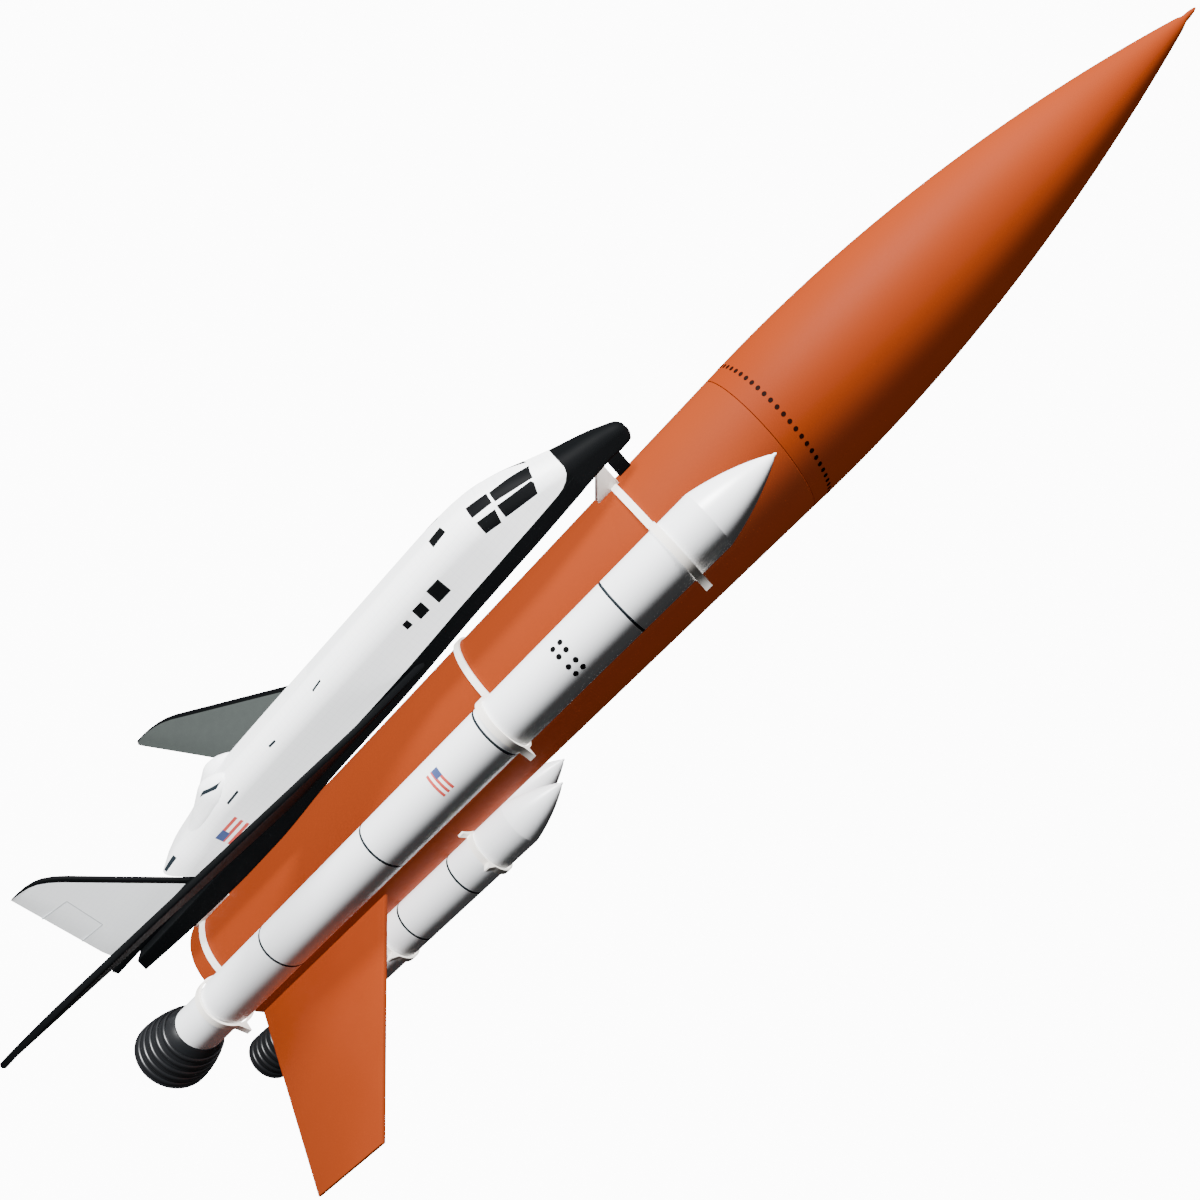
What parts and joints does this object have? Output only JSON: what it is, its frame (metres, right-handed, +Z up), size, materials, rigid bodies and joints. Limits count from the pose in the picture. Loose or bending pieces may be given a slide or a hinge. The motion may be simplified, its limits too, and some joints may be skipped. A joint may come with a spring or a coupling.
{
  "type": "space shuttle model rocket",
  "caption": "Flying model rocket of a shuttle stack: finned tank tube with pull-off nose cone, boosters and a lift-off winged orbiter glider, standing on its nozzles.",
  "frame": {"origin": "under the middle of the footprint, on the surface that the nozzles stand on", "axes": "+Z up along the tank to the nose cone's tip, +X towards the right-hand long booster, -Y towards the orbiter's side"},
  "size_m": [0.2316, 0.203, 0.5758],
  "materials": {
    "orange_tube": "satin orange paint over a spiral-wound card tube",
    "orange_plastic": "satin orange moulded plastic",
    "white_tube": "satin white paint over a card tube",
    "white_plastic": "satin white moulded plastic",
    "black_plastic": "satin black moulded plastic",
    "white_foam": "smooth printed white foam",
    "grey_foam": "smooth printed grey foam with a black leading edge",
    "kraft_card": "plain brown card"
  },
  "bodies": {
    "rocket": {"tank_tube": "orange_tube", "motor_tube": "kraft_card", "centering_ring": "kraft_card", "long_booster_right_body": "white_tube", "long_booster_right_nose": "white_plastic", "long_booster_right_skirt": "white_plastic", "long_booster_right_nozzle": "black_plastic", "long_booster_left_body": "white_tube", "long_booster_left_nose": "white_plastic", "long_booster_left_skirt": "white_plastic", "long_booster_left_nozzle": "black_plastic", "short_booster_right_body": "white_tube", "short_booster_right_nose": "white_plastic", "short_booster_right_skirt": "white_plastic", "short_booster_right_nozzle": "black_plastic", "short_booster_left_body": "white_tube", "short_booster_left_nose": "white_plastic", "short_booster_left_skirt": "white_plastic", "short_booster_left_nozzle": "black_plastic", "forward_yoke": "white_plastic", "middle_yoke": "white_plastic", "aft_yoke": "white_plastic", "short_band_forward": "white_plastic", "short_band_aft": "white_plastic", "fin_right": "orange_plastic", "fin_left": "orange_plastic"},
    "nose_cone": {"nose_cone": "orange_plastic"},
    "orbiter": {"orbiter_fuselage": "white_foam", "orbiter_nose_cap": "black_plastic", "orbiter_belly_pan": "black_plastic", "orbiter_tail_deck": "black_plastic", "orbiter_wing_right": "grey_foam", "orbiter_wing_left": "grey_foam", "orbiter_tail_fin": "white_foam", "orbiter_pod_right": "white_foam", "orbiter_pod_left": "white_foam", "orbiter_nose_peg": "black_plastic"}
  },
  "joints": [
    {"name": "nose_cone_pull", "type": "slide", "parent": "rocket", "child": "nose_cone", "axis": [0, 0, 1], "range_m": [0, 0.05]},
    {"name": "orbiter_release", "type": "slide", "parent": "rocket", "child": "orbiter", "axis": [0.342, -0.9397, 0], "range_m": [0, 0.05]}
  ]
}
